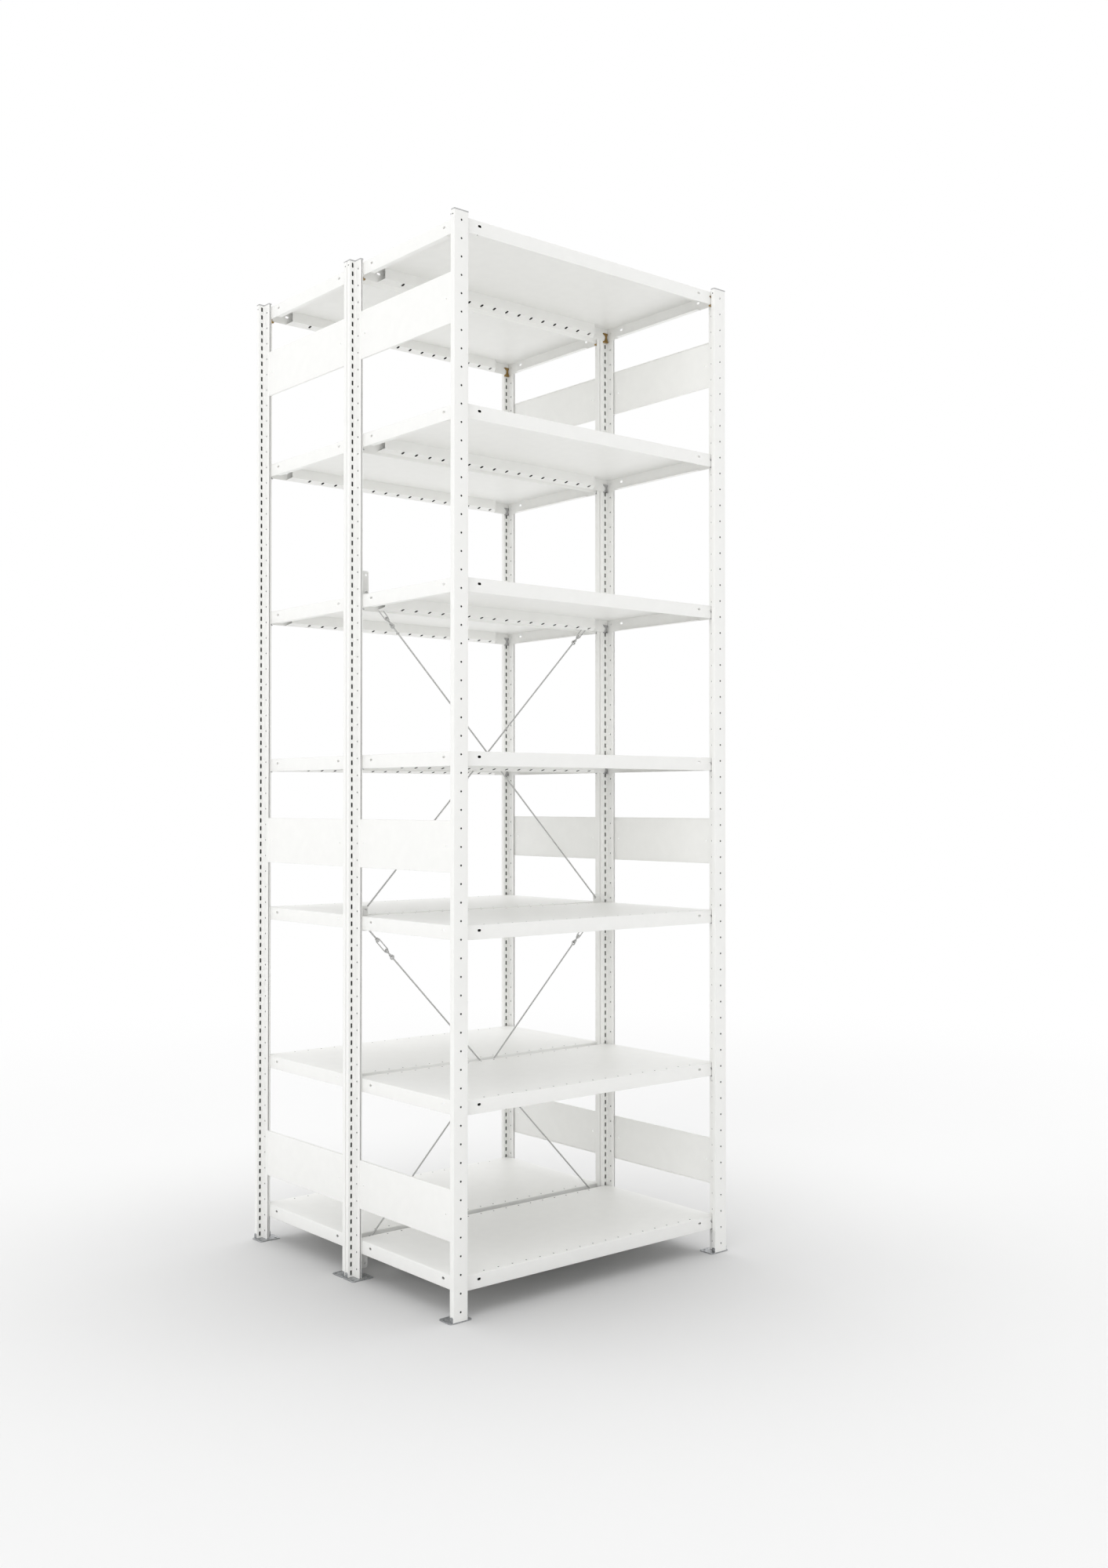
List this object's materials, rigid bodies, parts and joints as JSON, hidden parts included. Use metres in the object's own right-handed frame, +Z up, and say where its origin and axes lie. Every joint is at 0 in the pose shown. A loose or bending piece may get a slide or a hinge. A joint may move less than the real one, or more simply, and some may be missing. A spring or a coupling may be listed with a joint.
{
  "type": "double-sided shelving unit",
  "caption": "Tall double-sided steel shelving unit: two boltless racks back to back, with slotted T-posts, clip-held shelf trays, side panels and crossed tie rods.",
  "frame": {"origin": "on the floor under the middle of the unit", "axes": "+X along the shelves to the right, +Y from the front rack to the rear rack, +Z up"},
  "size_m": [1.075, 1.0734, 3.0073],
  "materials": {
    "post_paint": "satin powder coat, light grey white",
    "shelf_paint": "satin powder coat, light grey white",
    "panel_paint": "satin powder coat, light grey white",
    "foot_zinc": "galvanised",
    "tie_zinc": "bright zinc plated",
    "brace_zinc": "galvanised",
    "clip_zinc": "zinc plated",
    "clip_brass": "yellow passivated",
    "cap_plastic": "satin moulded"
  },
  "bodies": {
    "frame": {"front_left_outer_post": "post_paint", "front_left_outer_foot": "foot_zinc", "front_left_inner_post": "post_paint", "front_left_inner_foot": "foot_zinc", "front_left_upper_side_panel": "panel_paint", "front_left_middle_side_panel": "panel_paint", "front_left_lower_side_panel": "panel_paint", "front_right_outer_post": "post_paint", "front_right_outer_foot": "foot_zinc", "front_right_inner_post": "post_paint", "front_right_inner_foot": "foot_zinc", "front_right_upper_side_panel": "panel_paint", "front_right_middle_side_panel": "panel_paint", "front_right_lower_side_panel": "panel_paint", "rear_left_outer_post": "post_paint", "rear_left_outer_foot": "foot_zinc", "rear_left_inner_post": "post_paint", "rear_left_inner_foot": "foot_zinc", "rear_left_upper_side_panel": "panel_paint", "rear_left_middle_side_panel": "panel_paint", "rear_left_lower_side_panel": "panel_paint", "rear_right_outer_post": "post_paint", "rear_right_outer_foot": "foot_zinc", "rear_right_inner_post": "post_paint", "rear_right_inner_foot": "foot_zinc", "rear_right_upper_side_panel": "panel_paint", "rear_right_middle_side_panel": "panel_paint", "rear_right_lower_side_panel": "panel_paint", "upper_left_brace_plate": "brace_zinc", "upper_left_tie_rod": "tie_zinc", "upper_left_tie_screw": "tie_zinc", "upper_right_brace_plate": "brace_zinc", "upper_right_tie_rod": "tie_zinc", "upper_right_tie_screw": "tie_zinc", "middle_left_brace_plate": "brace_zinc", "middle_left_tie_rod": "tie_zinc", "middle_left_tie_screw": "tie_zinc", "middle_right_brace_plate": "brace_zinc", "middle_right_tie_rod": "tie_zinc", "middle_right_tie_screw": "tie_zinc", "lower_left_brace_plate": "brace_zinc", "lower_right_brace_plate": "brace_zinc"},
    "front_shelf_1": {"front_shelf_1": "shelf_paint"},
    "front_shelf_2": {"front_shelf_2": "shelf_paint"},
    "front_shelf_3": {"front_shelf_3": "shelf_paint"},
    "front_shelf_4": {"front_shelf_4": "shelf_paint"},
    "front_shelf_5": {"front_shelf_5": "shelf_paint"},
    "front_shelf_6": {"front_shelf_6": "shelf_paint"},
    "front_shelf_7": {"front_shelf_7": "shelf_paint"},
    "rear_shelf_1": {"rear_shelf_1": "shelf_paint"},
    "rear_shelf_2": {"rear_shelf_2": "shelf_paint"},
    "rear_shelf_3": {"rear_shelf_3": "shelf_paint"},
    "rear_shelf_4": {"rear_shelf_4": "shelf_paint"},
    "rear_shelf_5": {"rear_shelf_5": "shelf_paint"},
    "rear_shelf_6": {"rear_shelf_6": "shelf_paint"},
    "rear_shelf_7": {"rear_shelf_7": "shelf_paint"},
    "upper_left_turnbuckle": {"upper_left_turnbuckle": "tie_zinc"},
    "upper_right_turnbuckle": {"upper_right_turnbuckle": "tie_zinc"},
    "middle_left_turnbuckle": {"middle_left_turnbuckle": "tie_zinc"},
    "middle_right_turnbuckle": {"middle_right_turnbuckle": "tie_zinc"}
  },
  "joints": [
    {"name": "front_shelf_1_lift", "type": "slide", "parent": "frame", "child": "front_shelf_1", "axis": [0, 0, 1], "range_m": [0, 0.03]},
    {"name": "front_shelf_2_lift", "type": "slide", "parent": "frame", "child": "front_shelf_2", "axis": [0, 0, 1], "range_m": [0, 0.03]},
    {"name": "front_shelf_3_lift", "type": "slide", "parent": "frame", "child": "front_shelf_3", "axis": [0, 0, 1], "range_m": [0, 0.03]},
    {"name": "front_shelf_4_lift", "type": "slide", "parent": "frame", "child": "front_shelf_4", "axis": [0, 0, 1], "range_m": [0, 0.03]},
    {"name": "front_shelf_5_lift", "type": "slide", "parent": "frame", "child": "front_shelf_5", "axis": [0, 0, 1], "range_m": [0, 0.03]},
    {"name": "front_shelf_6_lift", "type": "slide", "parent": "frame", "child": "front_shelf_6", "axis": [0, 0, 1], "range_m": [0, 0.03]},
    {"name": "front_shelf_7_lift", "type": "slide", "parent": "frame", "child": "front_shelf_7", "axis": [0, 0, 1], "range_m": [0, 0.03]},
    {"name": "rear_shelf_1_lift", "type": "slide", "parent": "frame", "child": "rear_shelf_1", "axis": [0, 0, 1], "range_m": [0, 0.03]},
    {"name": "rear_shelf_2_lift", "type": "slide", "parent": "frame", "child": "rear_shelf_2", "axis": [0, 0, 1], "range_m": [0, 0.03]},
    {"name": "rear_shelf_3_lift", "type": "slide", "parent": "frame", "child": "rear_shelf_3", "axis": [0, 0, 1], "range_m": [0, 0.03]},
    {"name": "rear_shelf_4_lift", "type": "slide", "parent": "frame", "child": "rear_shelf_4", "axis": [0, 0, 1], "range_m": [0, 0.03]},
    {"name": "rear_shelf_5_lift", "type": "slide", "parent": "frame", "child": "rear_shelf_5", "axis": [0, 0, 1], "range_m": [0, 0.03]},
    {"name": "rear_shelf_6_lift", "type": "slide", "parent": "frame", "child": "rear_shelf_6", "axis": [0, 0, 1], "range_m": [0, 0.03]},
    {"name": "rear_shelf_7_lift", "type": "slide", "parent": "frame", "child": "rear_shelf_7", "axis": [0, 0, 1], "range_m": [0, 0.03]},
    {"name": "upper_left_turnbuckle_spin", "type": "hinge", "parent": "frame", "child": "upper_left_turnbuckle", "pos_m": [-0.40155, -0.0038, 1.9693], "axis": [0.6945, 0, -0.7195], "continuous": true},
    {"name": "upper_right_turnbuckle_spin", "type": "hinge", "parent": "frame", "child": "upper_right_turnbuckle", "pos_m": [0.40155, 0.0038, 1.9693], "axis": [-0.6945, 0, -0.7195], "continuous": true},
    {"name": "middle_left_turnbuckle_spin", "type": "hinge", "parent": "frame", "child": "middle_left_turnbuckle", "pos_m": [-0.40155, -0.0038, 0.9693], "axis": [0.6945, 0, -0.7195], "continuous": true},
    {"name": "middle_right_turnbuckle_spin", "type": "hinge", "parent": "frame", "child": "middle_right_turnbuckle", "pos_m": [0.40155, 0.0038, 0.9693], "axis": [-0.6945, 0, -0.7195], "continuous": true}
  ]
}
